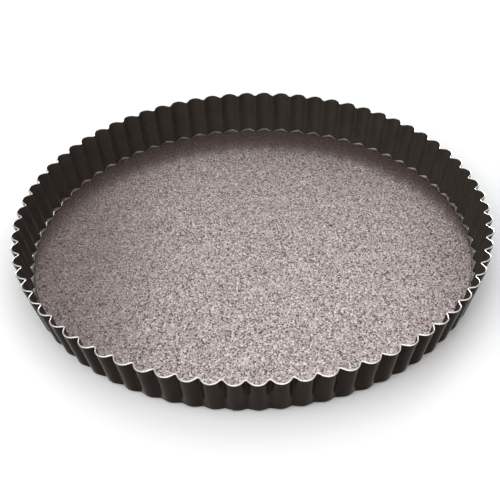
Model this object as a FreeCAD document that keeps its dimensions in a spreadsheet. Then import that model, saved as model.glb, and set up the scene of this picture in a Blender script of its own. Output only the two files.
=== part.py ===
"""Loose-bottomed fluted tart pan, as a FreeCAD 1.1 macro (millimetres).

Two pieces of sheet steel: a fluted ring whose foot turns in to a narrow flat seat, and a flat
disc that lies loose on that seat.  The origin is the centre of the underside and +Z is up.

The ring is one flute modelled as a wedge and repeated round the axis.  A section through the
sheet is the same at every angle: the flat seat, a bend and a straight leaning wall.  At the tip
of a lobe the bend is wide and the wall leans far out; at a cusp, between two lobes, the bend is
tight and the wall is steeper.  Level outlines through these two sections are lofted.
"""
import FreeCAD, Part
import math
import os

import Sketcher

TURN = 360
PARTS_FOLDER = "parts"

# How Sketcher numbers the points of a curve, the sketch's X axis and its origin.
START = 1
END = 2
CENTRE = 3
X_AXIS = -1
SKETCH_ORIGIN = (-1, 1)

DRIVING_SIZES = [
    ("flute_groups", 9, "equal groups of flutes round the ring"),
    ("flutes_in_group", 8, "flutes in each group"),
    ("rim_diameter", 280, "over the lobes at the cut edge"),
    ("pan_height", 26, "table to cut edge"),
    ("sheet", 0.8, "thickness of the ring's sheet"),
    ("lobe_flare", 15.8, "lean of the wall at a lobe, degrees from upright"),
    ("rim_flute_depth", 3.9, "lobe to cusp at the cut edge"),
    ("foot_flute_depth", 1.85, "lobe to cusp where the straight walls would meet the table"),
    ("lobe_round", 5.3, "outside radius of a lobe, seen from above"),
    ("cusp_round", 0.5, "outside radius of the groove at a cusp, seen from above"),
    ("cusp_bend_inside", 0.4, "inside radius of the foot bend at a cusp"),
    ("seat_scallop", 0.8, "how much further out the flat seat reaches under a lobe"),
    ("seat_width", 9, "flat seat, from the bore to the foot bend at a cusp"),
    ("base_thickness", 0.8, "sheet of the loose base"),
    ("base_clearance", 0.3, "gap from the base's edge to the foot bend at a cusp"),
    ("base_edge_round", 0.2, "rounding of the base's edge"),
]

# Sizes that follow from the driving ones.  All the radii are measured from the pan's axis, except
# the bends, which are the outside radii of the bent sheet.
WORKED_SIZES = [
    ("half_pitch", f"{TURN} / (2 * Sizes.flute_groups * Sizes.flutes_in_group)"),
    ("rim_lobe", "Sizes.rim_diameter / 2"),
    ("rim_cusp", "Worked.rim_lobe - Sizes.rim_flute_depth"),
    ("edge_lobe", "Worked.rim_lobe - Sizes.pan_height * tan(Sizes.lobe_flare)"),
    ("edge_cusp", "Worked.edge_lobe - Sizes.foot_flute_depth"),
    ("cusp_flare", "atan((Worked.rim_cusp - Worked.edge_cusp) / Sizes.pan_height) / 1 deg"),
    ("cusp_bend", "Sizes.cusp_bend_inside + Sizes.sheet"),
    ("seat_cusp", "Worked.edge_cusp - Worked.cusp_bend * tan((90 - Worked.cusp_flare) / 2)"),
    ("seat_lobe", "Worked.seat_cusp + Sizes.seat_scallop"),
    ("lobe_bend", "(Worked.edge_lobe - Worked.seat_lobe) / tan((90 - Sizes.lobe_flare) / 2)"),
    ("lobe_bend_inside", "Worked.lobe_bend - Sizes.sheet"),
    ("bore_radius", "Worked.seat_cusp - Sizes.seat_width"),
    ("inner_lobe_round", "Sizes.lobe_round - Sizes.sheet"),
    ("inner_cusp_round", "Sizes.cusp_round + Sizes.sheet"),
    ("base_radius", "Worked.seat_cusp - Sizes.base_clearance"),
    # Outside of the sheet: the level where each bend runs out into its straight wall.
    ("outer_low", "Worked.cusp_bend * (1 - sin(Worked.cusp_flare))"),
    ("outer_low_lobe", "Worked.seat_lobe + sqrt(Worked.lobe_bend ^ 2"
                       " - (Worked.lobe_bend - Worked.outer_low) ^ 2)"),
    ("outer_low_cusp", "Worked.seat_cusp + Worked.cusp_bend * cos(Worked.cusp_flare)"),
    ("outer_high", "Worked.lobe_bend * (1 - sin(Sizes.lobe_flare))"),
    ("outer_high_lobe", "Worked.seat_lobe + Worked.lobe_bend * cos(Sizes.lobe_flare)"),
    ("outer_high_cusp", "Worked.edge_cusp + Worked.outer_high * tan(Worked.cusp_flare)"),
    # Inside of the sheet: the same levels, one sheet thickness in from the outside.
    ("inner_low", "Worked.cusp_bend - Sizes.cusp_bend_inside * sin(Worked.cusp_flare)"),
    ("inner_low_lobe", "Worked.seat_lobe + sqrt(Worked.lobe_bend_inside ^ 2"
                       " - (Worked.lobe_bend - Worked.inner_low) ^ 2)"),
    ("inner_low_cusp", "Worked.seat_cusp + Sizes.cusp_bend_inside * cos(Worked.cusp_flare)"),
    ("inner_high", "Worked.lobe_bend - Worked.lobe_bend_inside * sin(Sizes.lobe_flare)"),
    ("inner_high_lobe", "Worked.seat_lobe + Worked.lobe_bend_inside * cos(Sizes.lobe_flare)"),
    ("inner_high_cusp", "Worked.edge_cusp + Worked.inner_high * tan(Worked.cusp_flare)"
                        " - Sizes.sheet / cos(Worked.cusp_flare)"),
    # The hollow is cut on past the rim, along the same straight walls.
    ("over_rim", "Sizes.pan_height + Sizes.sheet"),
    ("over_rim_lobe", "Worked.edge_lobe + Worked.over_rim * tan(Sizes.lobe_flare)"
                      " - Sizes.sheet / cos(Sizes.lobe_flare)"),
    ("over_rim_cusp", "Worked.edge_cusp + Worked.over_rim * tan(Worked.cusp_flare)"
                      " - Sizes.sheet / cos(Worked.cusp_flare)"),
]


def make_sizes(doc):
    """The driving dimensions, one aliased plain number per row."""
    sheet = doc.addObject("Spreadsheet::Sheet", "Sizes")
    for row, (alias, value, meaning) in enumerate(DRIVING_SIZES, start=1):
        sheet.set(f"A{row}", alias)
        sheet.set(f"B{row}", str(value))
        sheet.set(f"C{row}", meaning)
        sheet.setAlias(f"B{row}", alias)
    doc.recompute()
    return sheet


def make_worked_sizes(doc):
    """The sizes that follow from the driving ones, each an expression on them."""
    worked = doc.addObject("App::VarSet", "Worked")
    for name, expression in WORKED_SIZES:
        worked.addProperty("App::PropertyFloat", name, "Worked sizes")
        worked.setExpression(name, expression)
        doc.recompute()
    return worked


def origin_feature(body, role):
    """The body's own origin plane or axis of that role."""
    for feature in body.Origin.OriginFeatures:
        if feature.Role == role:
            return feature
    raise LookupError(role)


def level_sketch(body, name, height):
    """An empty sketch on the body's ground plane, raised to the height expression."""
    sketch = body.newObject("Sketcher::SketchObject", name)
    sketch.AttachmentSupport = [(origin_feature(body, "XY_Plane"), "")]
    sketch.MapMode = "FlatFace"
    sketch.setExpression("AttachmentOffset.Base.z", height)
    return sketch


def polar(radius, angle):
    """The sketch point at that radius and angle (radians)."""
    return FreeCAD.Vector(radius * math.cos(angle), radius * math.sin(angle), 0)


def mirrored(point):
    """The same point on the other side of the X axis."""
    return FreeCAD.Vector(point.x, -point.y, 0)


def arc(centre, radius, start, end):
    """An arc about +Z from one angle to another (radians, counter-clockwise)."""
    circle = Part.Circle(centre, FreeCAD.Vector(0, 0, 1), radius)
    return Part.ArcOfCircle(circle, start, end)


def joined(sketch, first, first_end, second, second_end):
    """Two ends at one point."""
    sketch.addConstraint(Sketcher.Constraint("Coincident", first, first_end, second, second_end))


def tangent(sketch, first, first_end, second, second_end):
    """Two ends at one point, running into each other without a corner."""
    sketch.addConstraint(Sketcher.Constraint("Tangent", first, first_end, second, second_end))


def sized(sketch, name, expression, *constraint):
    """A dimension of the sketch, named and bound to an expression."""
    index = sketch.addConstraint(Sketcher.Constraint(*constraint))
    sketch.renameConstraint(index, name)
    sketch.setExpression(f"Constraints.{name}", expression)


def size_value(document, size):
    """The present number behind a name such as Sizes.sheet or Worked.rim_lobe."""
    table, alias = size.split(".")
    return float(getattr(document.getObject(table), alias))


def flute_outline(body, name, height, lobe, cusp, lobe_round, cusp_round):
    """One flute at one level: a wedge from the bore out to the fluted wall.

    The wall is a lobe arc on the X axis, a straight flank on each side and half a cusp arc at
    each side of the wedge, all tangent.  The arguments name sizes in the two tables.
    """
    document = body.Document
    half = math.radians(size_value(document, "Worked.half_pitch"))
    bore = size_value(document, "Worked.bore_radius")
    cusp_tip_radius = size_value(document, cusp)
    lobe_radius = size_value(document, lobe_round)
    cusp_radius = size_value(document, cusp_round)

    # The flank is the line that touches both arcs and crosses between their centres.
    lobe_centre = polar(size_value(document, lobe) - lobe_radius, 0)
    cusp_centre = polar(cusp_tip_radius + cusp_radius, half)
    between = cusp_centre - lobe_centre
    crossing = math.acos((lobe_radius + cusp_radius) / between.Length)
    lean = math.atan2(between.y, between.x) - crossing
    lobe_end = lobe_centre + polar(lobe_radius, lean)
    cusp_end = cusp_centre - polar(cusp_radius, lean)
    cusp_tip = polar(cusp_tip_radius, half)

    sketch = level_sketch(body, name, height)
    bore_arc = sketch.addGeometry(arc(polar(0, 0), bore, -half, half))
    left_side = sketch.addGeometry(Part.LineSegment(polar(bore, half), cusp_tip))
    left_cusp = sketch.addGeometry(
        arc(cusp_centre, cusp_radius, math.pi + half, math.pi + lean))
    left_flank = sketch.addGeometry(Part.LineSegment(cusp_end, lobe_end))
    lobe_arc = sketch.addGeometry(arc(lobe_centre, lobe_radius, -lean, lean))
    right_flank = sketch.addGeometry(Part.LineSegment(mirrored(lobe_end), mirrored(cusp_end)))
    right_cusp = sketch.addGeometry(
        arc(mirrored(cusp_centre), cusp_radius, math.pi - lean, math.pi - half))
    right_side = sketch.addGeometry(Part.LineSegment(mirrored(cusp_tip), polar(bore, -half)))

    joined(sketch, bore_arc, CENTRE, *SKETCH_ORIGIN)
    joined(sketch, bore_arc, END, left_side, START)
    joined(sketch, left_side, END, left_cusp, START)
    tangent(sketch, left_cusp, END, left_flank, START)
    tangent(sketch, left_flank, END, lobe_arc, END)
    tangent(sketch, lobe_arc, START, right_flank, START)
    tangent(sketch, right_flank, END, right_cusp, START)
    joined(sketch, right_cusp, END, right_side, START)
    joined(sketch, right_side, END, bore_arc, START)
    for point, line in (
        (SKETCH_ORIGIN, left_side),
        (SKETCH_ORIGIN, right_side),
        ((left_cusp, CENTRE), left_side),
        ((right_cusp, CENTRE), right_side),
        ((lobe_arc, CENTRE), X_AXIS),
    ):
        sketch.addConstraint(Sketcher.Constraint("PointOnObject", *point, line))
    sketch.addConstraint(Sketcher.Constraint("Symmetric", left_side, END, right_side, START, X_AXIS))
    sketch.addConstraint(Sketcher.Constraint("Equal", left_cusp, right_cusp))

    sized(sketch, "half_pitch", "Worked.half_pitch * 1 deg", "Angle", left_side, half)
    sized(sketch, "bore", "Worked.bore_radius", "Radius", bore_arc, bore)
    sized(sketch, "cusp", cusp, "Distance", *SKETCH_ORIGIN, left_side, END, cusp_tip_radius)
    sized(sketch, "cusp_round", cusp_round, "Radius", left_cusp, cusp_radius)
    sized(sketch, "lobe_round", lobe_round, "Radius", lobe_arc, lobe_radius)
    sized(sketch, "lobe_centre", f"{lobe} - {lobe_round}",
          "DistanceX", *SKETCH_ORIGIN, lobe_arc, CENTRE, lobe_centre.x)
    return sketch


def loft(body, kind, name, outlines):
    """A loft through the level outlines, straight from each one to the next."""
    feature = body.newObject(kind, name)
    feature.Profile = outlines[0]
    feature.Sections = outlines[1:]
    feature.Ruled = True


def whole_pattern(body, name, count):
    """The body as it stands so far, repeated about its vertical axis."""
    pattern = body.newObject("PartDesign::PolarPattern", name)
    pattern.TransformMode = "Whole shape"
    pattern.Axis = (origin_feature(body, "Z_Axis"), [""])
    pattern.setExpression("Occurrences", count)
    body.Tip = pattern
    return pattern


def make_fluted_ring(doc):
    """The pressed ring: a fluted leaning wall that turns in to a flat seat at its foot."""
    body = doc.addObject("PartDesign::Body", "FlutedRing")
    body.Label = "fluted_ring"
    outside = ("Sizes.lobe_round", "Sizes.cusp_round")
    inside = ("Worked.inner_lobe_round", "Worked.inner_cusp_round")
    solid = [
        flute_outline(body, "OutsideFoot", "0", "Worked.seat_lobe", "Worked.seat_cusp", *outside),
        flute_outline(body, "OutsideLow", "Worked.outer_low",
                      "Worked.outer_low_lobe", "Worked.outer_low_cusp", *outside),
        flute_outline(body, "OutsideHigh", "Worked.outer_high",
                      "Worked.outer_high_lobe", "Worked.outer_high_cusp", *outside),
        flute_outline(body, "OutsideRim", "Sizes.pan_height",
                      "Worked.rim_lobe", "Worked.rim_cusp", *outside),
    ]
    loft(body, "PartDesign::AdditiveLoft", "Wedge", solid)
    hollow = [
        flute_outline(body, "InsideFoot", "Sizes.sheet",
                      "Worked.seat_lobe", "Worked.seat_cusp", *inside),
        flute_outline(body, "InsideLow", "Worked.inner_low",
                      "Worked.inner_low_lobe", "Worked.inner_low_cusp", *inside),
        flute_outline(body, "InsideHigh", "Worked.inner_high",
                      "Worked.inner_high_lobe", "Worked.inner_high_cusp", *inside),
        flute_outline(body, "InsideRim", "Worked.over_rim",
                      "Worked.over_rim_lobe", "Worked.over_rim_cusp", *inside),
    ]
    loft(body, "PartDesign::SubtractiveLoft", "Cavity", hollow)
    group = whole_pattern(body, "FluteGroup", "Sizes.flutes_in_group")
    group.Mode = "Spacing"
    group.setExpression("Offset", "2 * Worked.half_pitch * 1 deg")
    group.Refine = False
    flutes = whole_pattern(body, "Flutes", "Sizes.flute_groups")
    flutes.Mode = "Extent"
    flutes.Angle = TURN
    return body


def make_loose_base(doc):
    """The flat disc that rests on the ring's seat, its edge lightly rounded."""
    body = doc.addObject("PartDesign::Body", "LooseBase")
    body.Label = "loose_base"
    outline = level_sketch(body, "BaseOutline", "Sizes.sheet")
    radius = size_value(doc, "Worked.base_radius")
    circle = outline.addGeometry(Part.Circle(polar(0, 0), FreeCAD.Vector(0, 0, 1), radius))
    joined(outline, circle, CENTRE, *SKETCH_ORIGIN)
    sized(outline, "radius", "Worked.base_radius", "Radius", circle, radius)
    disc = body.newObject("PartDesign::Pad", "Disc")
    disc.Profile = outline
    disc.setExpression("Length", "Sizes.base_thickness")
    doc.recompute()
    edge = body.newObject("PartDesign::Fillet", "RoundedEdge")
    edge.Base = (disc, ["Face2", "Face3"])
    edge.setExpression("Radius", "Sizes.base_edge_round")
    return body


def check(doc, bodies):
    """Stop unless every object is sound and every piece is one valid solid."""
    for item in doc.Objects:
        faults = [state for state in item.State if state in ("Invalid", "Error")]
        if faults:
            raise RuntimeError(f"{item.Name}: {faults}")
    for body in bodies:
        shape = body.Shape
        if shape.isNull() or not shape.isValid() or len(shape.Solids) != 1:
            raise RuntimeError(f"{body.Label}: not one valid solid")


def main():
    doc = FreeCAD.newDocument("TartPan")
    make_sizes(doc)
    make_worked_sizes(doc)
    bodies = [make_fluted_ring(doc), make_loose_base(doc)]
    doc.recompute()
    check(doc, bodies)
    os.makedirs(PARTS_FOLDER, exist_ok=True)
    for body in bodies:
        body.Shape.exportStep(os.path.join(PARTS_FOLDER, f"{body.Label}.step"))
        box = body.Shape.optimalBoundingBox(False, False)
        print(f"{body.Label}: {body.Shape.Volume:.1f} mm3, {len(body.Shape.Faces)} faces,"
              f" {box.XLength:.3f} x {box.YLength:.3f} x {box.ZLength:.3f}")


main()
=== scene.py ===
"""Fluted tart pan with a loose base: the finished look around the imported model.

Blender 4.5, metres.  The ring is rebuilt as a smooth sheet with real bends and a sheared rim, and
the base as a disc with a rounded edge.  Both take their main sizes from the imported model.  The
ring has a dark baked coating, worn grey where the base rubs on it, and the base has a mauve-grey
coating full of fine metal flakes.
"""
import math

import bmesh
import bpy
from mathutils import Matrix, Vector


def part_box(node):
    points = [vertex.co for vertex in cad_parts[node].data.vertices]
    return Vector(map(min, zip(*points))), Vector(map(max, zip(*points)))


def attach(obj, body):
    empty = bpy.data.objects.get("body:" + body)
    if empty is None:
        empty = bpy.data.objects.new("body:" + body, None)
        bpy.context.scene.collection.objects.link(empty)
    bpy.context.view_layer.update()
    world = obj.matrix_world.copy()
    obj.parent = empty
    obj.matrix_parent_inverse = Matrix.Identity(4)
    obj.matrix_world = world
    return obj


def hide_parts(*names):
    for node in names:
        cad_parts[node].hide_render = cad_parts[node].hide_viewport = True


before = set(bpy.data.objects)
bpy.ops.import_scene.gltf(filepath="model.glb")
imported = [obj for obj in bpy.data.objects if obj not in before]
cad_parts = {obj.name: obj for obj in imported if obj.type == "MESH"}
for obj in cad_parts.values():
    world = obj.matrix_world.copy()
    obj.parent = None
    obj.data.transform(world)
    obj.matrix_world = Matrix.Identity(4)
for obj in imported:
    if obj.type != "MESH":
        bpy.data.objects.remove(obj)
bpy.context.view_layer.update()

MM = 0.001

# ---------------------------------------------------------------------------------------------
# Sizes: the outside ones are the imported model's, the rest are the sheet's own
# ---------------------------------------------------------------------------------------------
RIM_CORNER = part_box("fluted_ring")[1]
BASE_LOW, BASE_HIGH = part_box("loose_base")
RIM_LOBE = RIM_CORNER.x
RIM_HEIGHT = RIM_CORNER.z
SHEET = BASE_LOW.z  # its thickness, since the base lies on the seat
FLUTES = 72
LOBE_FLARE = math.radians(15.8)  # lean of the wall at a lobe, from upright
RIM_FLUTE_DEPTH = 3.9 * MM  # lobe to cusp at the cut edge
FOOT_FLUTE_DEPTH = 1.85 * MM  # lobe to cusp where the straight walls would meet the table
LOBE_ROUND = 5.3 * MM  # outside radius of a lobe, seen from above
CUSP_ROUND = 0.5 * MM  # outside radius of the groove at a cusp, seen from above
CUSP_BEND_INSIDE = 0.4 * MM  # inside radius of the foot bend at a cusp
SEAT_SCALLOP = 0.8 * MM  # how much further out the flat seat reaches under a lobe
SEAT_WIDTH = 9 * MM  # flat seat, from the bore to the foot bend at a cusp
EDGE_ROUND = 0.12 * MM  # corners of the sheet's cut edges
BASE_ROUND = 0.2 * MM  # corners of the base's edge
GUARD = 0.15 * MM  # width of the faces that part a rounding from the straight surface beside it
CENTRE_RADIUS = 20 * MM  # innermost circle of the base's mesh

HALF_PITCH = math.pi / FLUTES
RIM_CUSP = RIM_LOBE - RIM_FLUTE_DEPTH
EDGE_LOBE = RIM_LOBE - RIM_HEIGHT * math.tan(LOBE_FLARE)
EDGE_CUSP = EDGE_LOBE - FOOT_FLUTE_DEPTH
CUSP_FLARE = math.atan((RIM_CUSP - EDGE_CUSP) / RIM_HEIGHT)
CUSP_BEND = CUSP_BEND_INSIDE + SHEET
SEAT_CUSP = EDGE_CUSP - CUSP_BEND * math.tan((math.pi / 2 - CUSP_FLARE) / 2)
SEAT_LOBE = SEAT_CUSP + SEAT_SCALLOP
LOBE_BEND = (EDGE_LOBE - SEAT_LOBE) / math.tan((math.pi / 2 - LOBE_FLARE) / 2)
BORE = SEAT_CUSP - SEAT_WIDTH
CUT_HEIGHT = RIM_HEIGHT - SHEET * math.sin(LOBE_FLARE)
CUT_LOBE = EDGE_LOBE + CUT_HEIGHT * math.tan(LOBE_FLARE)
CUT_CUSP = EDGE_CUSP + CUT_HEIGHT * math.tan(CUSP_FLARE)

# Steps of the mesh along each stretch
LOBE_STEPS = 6
FLANK_STEPS = 3
CUSP_STEPS = 3
BEND_STEPS = 6
WALL_STEPS = 8
SEAT_STEPS = 3
EDGE_STEPS = 3
LATHE_STEPS = 4  # in half a flute's pitch, round the base

# Bands of the ring's mesh, counted from the bore round the outside: see sheet_lines
RIM_BAND = SEAT_STEPS + 1 + BEND_STEPS + WALL_STEPS + 2
CUT_BAND = RIM_BAND + EDGE_STEPS
FOLD_BAND = RIM_BAND + 2 * EDGE_STEPS + 1 + WALL_STEPS + 2
SEAT_BAND = FOLD_BAND + BEND_STEPS

# The ring's finishes, in the order of its material slots
INNER, BARE, OUTER, FOLD, SEAT = range(5)


# ---------------------------------------------------------------------------------------------
# The ring's sheet
# ---------------------------------------------------------------------------------------------
def polar(radius, angle):
    """The point seen from above at that radius and angle."""
    return Vector((radius * math.cos(angle), radius * math.sin(angle)))


def half_flute(lobe, cusp, lobe_round, cusp_round):
    """Points of half a flute seen from above, from the lobe's tip to the cusp's tip."""
    lobe_centre = Vector((lobe - lobe_round, 0))
    cusp_centre = polar(cusp + cusp_round, HALF_PITCH)
    between = cusp_centre - lobe_centre
    crossing = math.acos((lobe_round + cusp_round) / between.length)
    lean = math.atan2(between.y, between.x) - crossing
    points = [lobe_centre + polar(lobe_round, lean * step / LOBE_STEPS)
              for step in range(LOBE_STEPS + 1)]
    cusp_start = cusp_centre - polar(cusp_round, lean)
    points += [points[LOBE_STEPS].lerp(cusp_start, step / FLANK_STEPS)
               for step in range(1, FLANK_STEPS + 1)]
    points += [cusp_centre - polar(cusp_round, lean + (HALF_PITCH - lean) * step / CUSP_STEPS)
               for step in range(1, CUSP_STEPS + 1)]
    return points


def level(lobe, lobe_height, cusp, cusp_height, lobe_round, cusp_round):
    """One closed line round the ring, which may lie higher at the lobes than at the cusps."""
    raised = []
    for point in half_flute(lobe, cusp, lobe_round, cusp_round):
        share = min(max((lobe - point.length) / (lobe - cusp), 0.0), 1.0)
        height = lobe_height + (cusp_height - lobe_height) * share
        raised.append((point.x, point.y, height))
    mirrored = [(x, -y, z) for x, y, z in raised[-2:0:-1]]
    flute = [Vector(point) for point in mirrored + raised]
    line = []
    for number in range(FLUTES):
        turn = Matrix.Rotation(2 * HALF_PITCH * number, 3, "Z")
        line += [turn @ point for point in flute]
    return line


def circle_under(line, radius, height, share=0.0):
    """The line's points drawn towards a circle; share is how much of the line's shape stays."""
    drawn = []
    for point in line:
        away = math.hypot(point.x, point.y)
        scale = (radius + (away - radius) * share) / away
        drawn.append(Vector((point.x * scale, point.y * scale, height)))
    return drawn


def bend(start, radius, centre_height, flare, step):
    """A point of the foot bend: 0 lies flat on the seat, BEND_STEPS is where the wall begins."""
    angle = (math.pi / 2 - flare) * step / BEND_STEPS
    return start + radius * math.sin(angle), centre_height - radius * math.cos(angle)


def sheet_lines():
    """The lines of the ring's sheet in order: underside, outer wall, rim, inner wall, seat."""
    outside = (LOBE_ROUND, CUSP_ROUND)
    inside = (LOBE_ROUND - SHEET, CUSP_ROUND + SHEET)
    foot = level(SEAT_LOBE, 0, SEAT_CUSP, 0, *outside)
    lines = [circle_under(foot, BORE, EDGE_ROUND), circle_under(foot, BORE + EDGE_ROUND, 0)]
    for step in range(1, SEAT_STEPS):
        share = step / SEAT_STEPS
        lines.append(circle_under(foot, BORE + SEAT_WIDTH * share, 0, share))
    lines.append(foot)
    for step in range(1, BEND_STEPS + 1):
        lobe, lobe_height = bend(SEAT_LOBE, LOBE_BEND, LOBE_BEND, LOBE_FLARE, step)
        cusp, cusp_height = bend(SEAT_CUSP, CUSP_BEND, CUSP_BEND, CUSP_FLARE, step)
        lines.append(level(lobe, lobe_height, cusp, cusp_height, *outside))
    wall_outside = (lobe, lobe_height, cusp, cusp_height)

    lines += wall_lines(wall_outside, cut_place(0, -EDGE_ROUND), outside)
    lines += edge_lines(outside, inside)

    inner_bend = []
    for step in range(BEND_STEPS, 0, -1):
        lobe, lobe_height = bend(SEAT_LOBE, LOBE_BEND - SHEET, LOBE_BEND, LOBE_FLARE, step)
        cusp, cusp_height = bend(SEAT_CUSP, CUSP_BEND_INSIDE, CUSP_BEND, CUSP_FLARE, step)
        inner_bend.append((lobe, lobe_height, cusp, cusp_height))
    lines += wall_lines(cut_place(SHEET, -EDGE_ROUND), inner_bend[0], inside)
    lines += [level(*place, *inside) for place in inner_bend[1:]]

    seat = level(SEAT_LOBE, SHEET, SEAT_CUSP, SHEET, *inside)
    lines.append(seat)
    for step in range(SEAT_STEPS - 1, 0, -1):
        share = step / SEAT_STEPS
        lines.append(circle_under(seat, BORE + SEAT_WIDTH * share, SHEET, share))
    lines.append(circle_under(seat, BORE + EDGE_ROUND, SHEET))
    lines.append(circle_under(seat, BORE, SHEET - EDGE_ROUND))
    return lines


def wall_lines(start, end, rounds):
    """Lines up or down a straight wall, after its start and with its end.

    The first and last lie a guard's width from the ends, which keeps the rest of the wall straight
    in the smooth shading.
    """
    guard = GUARD / abs(end[1] - start[1])
    lines = []
    for share in (guard, *[step / WALL_STEPS for step in range(1, WALL_STEPS)], 1 - guard, 1):
        place = [a + (b - a) * share for a, b in zip(start, end)]
        lines.append(level(*place, *rounds))
    return lines


def cut_place(across, along):
    """Lobe and cusp places from the rim's outer corner: in across the cut, up along the wall."""
    reach = along * math.sin(LOBE_FLARE) - across * math.cos(LOBE_FLARE)
    height = CUT_HEIGHT + along * math.cos(LOBE_FLARE) + across * math.sin(LOBE_FLARE)
    return CUT_LOBE + reach, height, CUT_CUSP + reach, height


def edge_lines(outside, inside):
    """Lines over the rim, cut square to the sheet with its corners rounded, to the inner wall."""
    quarter = [math.pi / 2 * step / EDGE_STEPS for step in range(EDGE_STEPS + 1)]
    lines = []
    for turn in quarter[1:]:
        place = cut_place(EDGE_ROUND * (1 - math.cos(turn)), EDGE_ROUND * (math.sin(turn) - 1))
        lines.append(level(*place, *outside))
    for turn in quarter:
        place = cut_place(SHEET - EDGE_ROUND * (1 - math.sin(turn)),
                          EDGE_ROUND * (math.cos(turn) - 1))
        lines.append(level(*place, *inside))
    return lines


def band_finish(band, bands):
    """The finish of one band of the ring's mesh, bare where the sheet was cut."""
    if band in (0, bands - 2, bands - 1) or abs(band - CUT_BAND) <= 1:
        return BARE
    if band < CUT_BAND:
        return OUTER
    if band < FOLD_BAND:
        return INNER
    if band < SEAT_BAND:
        return FOLD
    return SEAT


def skin(name, lines, closed):
    """A mesh of quads over lines that all have the same number of points."""
    count = len(lines[0])
    points = [point for line in lines for point in line]
    faces = []
    bands = len(lines) if closed else len(lines) - 1
    for band in range(bands):
        here = band * count
        there = (band + 1) % len(lines) * count
        for column in range(count):
            beside = (column + 1) % count
            faces.append((here + column, here + beside, there + beside, there + column))
    mesh = bpy.data.meshes.new(name)
    mesh.from_pydata(points, [], faces)
    mesh.shade_smooth()
    mesh.validate()
    piece = bpy.data.objects.new(name, mesh)
    bpy.context.scene.collection.objects.link(piece)
    return piece


# ---------------------------------------------------------------------------------------------
# Materials
# ---------------------------------------------------------------------------------------------
# Nearly all of a noise lies between these values.
NOISE_LOW = 0.3
NOISE_HIGH = 0.7

# The orange peel of the ring's coating, in features to the metre, and its height
PEEL_SCALE = 900
PEEL_HEIGHT = 0.08 * MM

# The colour sockets of a Mix node, by place because the names are those of its other sockets too
MIX_FIRST = 6
MIX_SECOND = 7
MIX_RESULT = 2

# Up to the first value a cell of the base's coating is dark binder, from the second it is a flake.
BINDER = 0.14
FLAKE = 0.24

# Painted shade over the back of the worn coating, towards +Y: where it starts, where it is full,
# and the share of the coating's colour left there
PAINTED_SHADE_FROM = 0.5 * RIM_LOBE
PAINTED_SHADE_TO = 0.9 * RIM_LOBE
PAINTED_SHADE_KEEPS = 0.4


def new_material(name):
    """A material with its node tree, its shader and its object coordinates."""
    finish = bpy.data.materials.new(name)
    finish.use_nodes = True
    tree = finish.node_tree
    shader = tree.nodes["Principled BSDF"]
    place = tree.nodes.new("ShaderNodeTexCoord").outputs["Object"]
    return finish, tree, shader, place


def grey(level_of_grey):
    """That grey as a colour."""
    return (level_of_grey, level_of_grey, level_of_grey)


def noise(tree, place, scale, detail=2.0):
    """Soft noise over the object's own space; scale is in features to the metre."""
    texture = tree.nodes.new("ShaderNodeTexNoise")
    tree.links.new(place, texture.inputs["Vector"])
    texture.inputs["Scale"].default_value = scale
    texture.inputs["Detail"].default_value = detail
    return texture.outputs["Fac"]


def speck(tree, place, across, along):
    """A random value for each small cell, in cells to the metre across and along the grain."""
    stretch = tree.nodes.new("ShaderNodeMapping")
    stretch.inputs["Scale"].default_value = (across, along, across)
    tree.links.new(place, stretch.inputs["Vector"])
    texture = tree.nodes.new("ShaderNodeTexVoronoi")
    tree.links.new(stretch.outputs["Vector"], texture.inputs["Vector"])
    texture.inputs["Scale"].default_value = 1.0
    parts = tree.nodes.new("ShaderNodeSeparateColor")
    tree.links.new(texture.outputs["Color"], parts.inputs["Color"])
    return parts.outputs["Red"]


def spread(tree, value, low, high, to_low=0.0, to_high=1.0):
    """The value from low to high carried to a new range, held at both ends."""
    ranged = tree.nodes.new("ShaderNodeMapRange")
    tree.links.new(value, ranged.inputs["Value"])
    ranged.inputs["From Min"].default_value = low
    ranged.inputs["From Max"].default_value = high
    ranged.inputs["To Min"].default_value = to_low
    ranged.inputs["To Max"].default_value = to_high
    return ranged.outputs["Result"]


def ramp(tree, value, stops):
    """A colour for the value; stops are (position, (red, green, blue))."""
    colours = tree.nodes.new("ShaderNodeValToRGB")
    tree.links.new(value, colours.inputs["Fac"])
    scale = colours.color_ramp
    while len(scale.elements) < len(stops):
        scale.elements.new(0.5)
    for element, (position, colour) in zip(scale.elements, stops):
        element.position = position
        element.color = (*colour, 1)
    return colours.outputs["Color"]


def multiplied(tree, first, second):
    """Two colours multiplied."""
    mixer = tree.nodes.new("ShaderNodeMix")
    mixer.data_type = "RGBA"
    mixer.blend_type = "MULTIPLY"
    mixer.inputs["Factor"].default_value = 1.0
    tree.links.new(first, mixer.inputs[MIX_FIRST])
    tree.links.new(second, mixer.inputs[MIX_SECOND])
    return mixer.outputs[MIX_RESULT]


def bumped(tree, shader, height, strength, distance):
    """Small relief of the surface; distance is the height in metres that a full step stands for."""
    relief = tree.nodes.new("ShaderNodeBump")
    relief.inputs["Strength"].default_value = strength
    relief.inputs["Distance"].default_value = distance
    tree.links.new(height, relief.inputs["Height"])
    tree.links.new(relief.outputs["Normal"], shader.inputs["Normal"])


def wall_coating(name, dark, pale, ior, roughness, peel):
    """Dark baked coating: near black brown, slightly mottled, with a fine orange peel."""
    finish, tree, shader, place = new_material(name)
    mottle = noise(tree, place, scale=90, detail=3)
    grain = noise(tree, place, scale=1500)
    base = ramp(tree, mottle, [(NOISE_LOW, dark), (NOISE_HIGH, pale)])
    flecks = ramp(tree, grain, [(0.35, grey(0.75)), (0.65, (1.3, 1.28, 1.25))])
    tree.links.new(multiplied(tree, base, flecks), shader.inputs["Base Color"])
    tree.links.new(spread(tree, mottle, NOISE_LOW, NOISE_HIGH, roughness - 0.04, roughness + 0.04),
                   shader.inputs["Roughness"])
    shader.inputs["IOR"].default_value = ior
    bumped(tree, shader, noise(tree, place, PEEL_SCALE), peel, PEEL_HEIGHT)
    return finish


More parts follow.
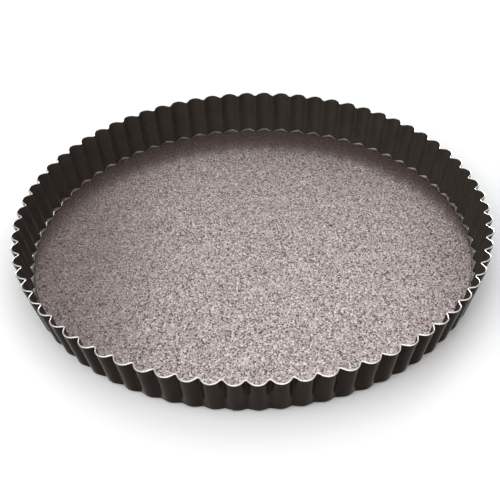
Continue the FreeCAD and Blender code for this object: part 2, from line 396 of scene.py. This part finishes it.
def worn_coating(name, dark, pale):
    """Coating rubbed thin and grey by the loose base, with the steel showing through.

    Towards the back of the pan, +Y, its colour is darkened by painted shade, which dims its glints
    there.
    """
    finish, tree, shader, place = new_material(name)
    wear = noise(tree, place, scale=420, detail=3)
    base = ramp(tree, wear, [(NOISE_LOW, dark), (NOISE_HIGH, pale)])
    # painted shade: the colour is darkened towards the back of the pan, +Y
    sides = tree.nodes.new("ShaderNodeSeparateXYZ")
    tree.links.new(place, sides.inputs["Vector"])
    back = spread(tree, sides.outputs["Y"], PAINTED_SHADE_FROM, PAINTED_SHADE_TO)
    painted_shade = ramp(tree, back, [(0.0, grey(1)), (1.0, grey(PAINTED_SHADE_KEEPS))])
    tree.links.new(multiplied(tree, base, painted_shade), shader.inputs["Base Color"])
    tree.links.new(spread(tree, wear, NOISE_LOW, NOISE_HIGH, 0.30, 0.22),
                   shader.inputs["Roughness"])
    shader.inputs["Metallic"].default_value = 1.0
    bumped(tree, shader, noise(tree, place, PEEL_SCALE), 0.2, PEEL_HEIGHT)
    return finish


def bare_edge():
    """Bare sheared metal: pale, with fine marks of the cut."""
    finish, tree, shader, place = new_material("bare_edge")
    marks = noise(tree, place, scale=1100, detail=3)
    base = ramp(tree, marks, [(NOISE_LOW, (0.80, 0.77, 0.73)), (NOISE_HIGH, (0.95, 0.93, 0.90))])
    tree.links.new(base, shader.inputs["Base Color"])
    tree.links.new(spread(tree, marks, NOISE_LOW, NOISE_HIGH, 0.24, 0.36),
                   shader.inputs["Roughness"])
    shader.inputs["Metallic"].default_value = 1.0
    bumped(tree, shader, noise(tree, place, scale=2500), strength=0.3, distance=0.03 * MM)
    return finish


def base_coating():
    """Dark non-stick coating full of fine metal flakes, which give it a mauve-grey sparkle."""
    finish, tree, shader, place = new_material("base_coating")
    clouds = noise(tree, place, scale=45, detail=3)
    flake = speck(tree, place, across=1550, along=1100)
    ground = ramp(tree, clouds, [(NOISE_LOW, grey(0.92)), (NOISE_HIGH, grey(1))])
    speckle = ramp(tree, flake, [(BINDER, (0.031, 0.02, 0.018)), (FLAKE, (0.261, 0.202, 0.194)),
                                 (0.50, (0.366, 0.294, 0.286)), (0.80, (0.408, 0.34, 0.334)),
                                 (0.95, (0.648, 0.555, 0.546))])
    tree.links.new(multiplied(tree, ground, speckle), shader.inputs["Base Color"])
    tree.links.new(spread(tree, flake, BINDER, FLAKE), shader.inputs["Metallic"])
    tree.links.new(spread(tree, flake, NOISE_LOW, NOISE_HIGH, 0.30, 0.24),
                   shader.inputs["Roughness"])
    shader.inputs["Sheen Weight"].default_value = 0.16
    shader.inputs["Sheen Roughness"].default_value = 0.6
    shader.inputs["Sheen Tint"].default_value = (1.0, 0.66, 0.59, 1)
    bumped(tree, shader, flake, strength=0.1, distance=0.05 * MM)
    return finish


def ring_finishes():
    """The ring's materials, in the order of its finishes."""
    return [
        wall_coating("inner_coating", dark=(0.029, 0.0232, 0.0191), pale=(0.037, 0.0297, 0.0244),
                     ior=1.2, roughness=0.5, peel=0.2),
        bare_edge(),
        wall_coating("outer_coating", dark=(0.0142, 0.0094, 0.0064), pale=(0.02, 0.0133, 0.009),
                     ior=1.12, roughness=0.1, peel=0.08),
        worn_coating("worn_fold", dark=(0.15, 0.133, 0.124), pale=(0.234, 0.212, 0.2)),
        worn_coating("worn_seat", dark=(0.14, 0.121, 0.115), pale=(0.20, 0.176, 0.169)),
    ]


# ---------------------------------------------------------------------------------------------
# Pieces
# ---------------------------------------------------------------------------------------------
def lathe(name, profile):
    """A closed disc of revolution from (radius, height) points, from its underside to its top."""
    around = 2 * FLUTES * LATHE_STEPS
    lines = []
    for radius, height in profile:
        line = []
        for step in range(around):
            spot = polar(radius, 2 * math.pi * step / around)
            line.append(Vector((spot.x, spot.y, height)))
        lines.append(line)
    disc = skin(name, lines, closed=False)
    shell = bmesh.new()
    shell.from_mesh(disc.data)
    bmesh.ops.holes_fill(shell, edges=[edge for edge in shell.edges if edge.is_boundary])
    bmesh.ops.recalc_face_normals(shell, faces=shell.faces)
    shell.to_mesh(disc.data)
    shell.free()
    disc.data.shade_smooth()
    return disc


def fluted_ring():
    """The ring's sheet, coated on both sides and bare where it was cut."""
    lines = sheet_lines()
    ring = skin("ring_sheet", lines, closed=True)
    for finish in ring_finishes():
        ring.data.materials.append(finish)
    around = len(lines[0])
    for face in ring.data.polygons:
        face.material_index = band_finish(face.index // around, len(lines))
    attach(ring, "ring")
    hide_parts("fluted_ring")


def loose_base():
    """The flat disc, its edge rounded by the coating."""
    radius = BASE_HIGH.x
    low = BASE_LOW.z
    high = BASE_HIGH.z
    turn = [math.pi / 2 * step / EDGE_STEPS for step in range(EDGE_STEPS + 1)]
    under = [(radius - BASE_ROUND * (1 - math.sin(a)), low + BASE_ROUND * (1 - math.cos(a)))
             for a in turn]
    over = [(radius - BASE_ROUND * (1 - math.cos(a)), high - BASE_ROUND * (1 - math.sin(a)))
            for a in turn]
    flat = radius - BASE_ROUND - GUARD
    disc = lathe("base_disc", [(CENTRE_RADIUS, low), (flat, low), *under,
                               *over, (flat, high), (CENTRE_RADIUS, high)])
    disc.data.materials.append(base_coating())
    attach(disc, "base")
    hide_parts("loose_base")


# ---------------------------------------------------------------------------------------------
# Studio
# ---------------------------------------------------------------------------------------------
FLOOR_HALF = 4.0
SKY_STRENGTH = 0.4

SENSOR_WIDTH = 36  # millimetres, as the lens is
LENS = 80.41
SHIFT_ACROSS = 0.0018  # shares of the picture's width
SHIFT_UP = 0.0011
CAMERA_DISTANCE = 0.67004
CAMERA_ELEVATION = math.radians(38.51)
CAMERA_ROLL = math.radians(-2.1)
CAMERA_LEFT = 0.002055  # how far the camera stands left of the pan's middle, and below it
CAMERA_BELOW = 0.00061


def studio_floor():
    """A plain pale floor."""
    shell = bmesh.new()
    bmesh.ops.create_grid(shell, x_segments=1, y_segments=1, size=FLOOR_HALF)
    mesh = bpy.data.meshes.new("studio_floor")
    shell.to_mesh(mesh)
    shell.free()
    floor = bpy.data.objects.new("studio_floor", mesh)
    bpy.context.scene.collection.objects.link(floor)
    finish, _, shader, _ = new_material("studio_floor")
    shader.inputs["Base Color"].default_value = (0.9, 0.9, 0.9, 1)
    shader.inputs["Roughness"].default_value = 0.9
    shader.inputs["Specular IOR Level"].default_value = 0.1
    mesh.materials.append(finish)


def softbox(name, azimuth, elevation, width, height, power, distance=1.5, colour=(1, 1, 1)):
    """A rectangular light aimed at the pan; azimuth is from +X towards +Y, both in degrees."""
    lamp = bpy.data.lights.new(name, "AREA")
    lamp.shape = "RECTANGLE"
    lamp.size = width
    lamp.size_y = height
    lamp.energy = power
    lamp.color = colour
    light = bpy.data.objects.new(name, lamp)
    bpy.context.scene.collection.objects.link(light)
    around = math.radians(azimuth)
    up = math.radians(elevation)
    out = Vector((math.cos(around) * math.cos(up), math.sin(around) * math.cos(up), math.sin(up)))
    light.location = out * distance
    light.rotation_euler = out.to_track_quat("Z", "Y").to_euler()


def lights():
    """The softboxes and an even pale sky.

    The base mirrors the back one to the camera, and the rim one brightens the cut edge.  The left,
    front and top ones light the outside and the front of the cut edge, and the two low ones at the
    back catch the fold at the sides.
    """
    softbox("back_softbox", 85.5, 56, width=0.64, height=1.25, power=2.95, colour=(0.91, 1, 1))
    softbox("rim_softbox", 88, 66, width=1.5, height=0.7, power=1.5)
    softbox("left_softbox", 210, 32, width=2.0, height=1.6, power=12, distance=1.6)
    softbox("front_softbox", 268, 58, width=3.0, height=2.0, power=20, distance=1.6)
    softbox("top_softbox", 268, 66, width=0.45, height=0.35, power=1.4)
    softbox("right_softbox", 57, 20, width=0.35, height=0.25, power=4.6)
    softbox("far_left_softbox", 123, 16, width=0.35, height=0.25, power=2.2)
    world = bpy.data.worlds.new("studio")
    world.use_nodes = True
    sky = world.node_tree.nodes["Background"]
    sky.inputs["Color"].default_value = (1, 1, 1, 1)
    sky.inputs["Strength"].default_value = SKY_STRENGTH
    bpy.context.scene.world = world
    bpy.context.scene.view_settings.view_transform = "Standard"


def camera():
    """The photograph's view: from the front, 38.5 degrees up, tipped 2 degrees."""
    lens = bpy.data.cameras.new("camera")
    lens.sensor_width = SENSOR_WIDTH
    lens.lens = LENS
    lens.shift_x = SHIFT_ACROSS
    lens.shift_y = SHIFT_UP
    seen_from = bpy.data.objects.new("camera", lens)
    bpy.context.scene.collection.objects.link(seen_from)
    right = Vector((1, 0, 0))
    up = Vector((0, math.sin(CAMERA_ELEVATION), math.cos(CAMERA_ELEVATION)))
    back = Vector((0, -math.cos(CAMERA_ELEVATION), math.sin(CAMERA_ELEVATION)))
    across = right * math.cos(CAMERA_ROLL) + up * math.sin(CAMERA_ROLL)
    upward = up * math.cos(CAMERA_ROLL) - right * math.sin(CAMERA_ROLL)
    place = back * CAMERA_DISTANCE - right * CAMERA_LEFT - up * CAMERA_BELOW
    seen_from.matrix_world = Matrix.Translation(place) @ Matrix(
        (across, upward, back)).transposed().to_4x4()
    bpy.context.scene.camera = seen_from


fluted_ring()
loose_base()
studio_floor()
lights()
camera()

bpy.context.view_layer.update()
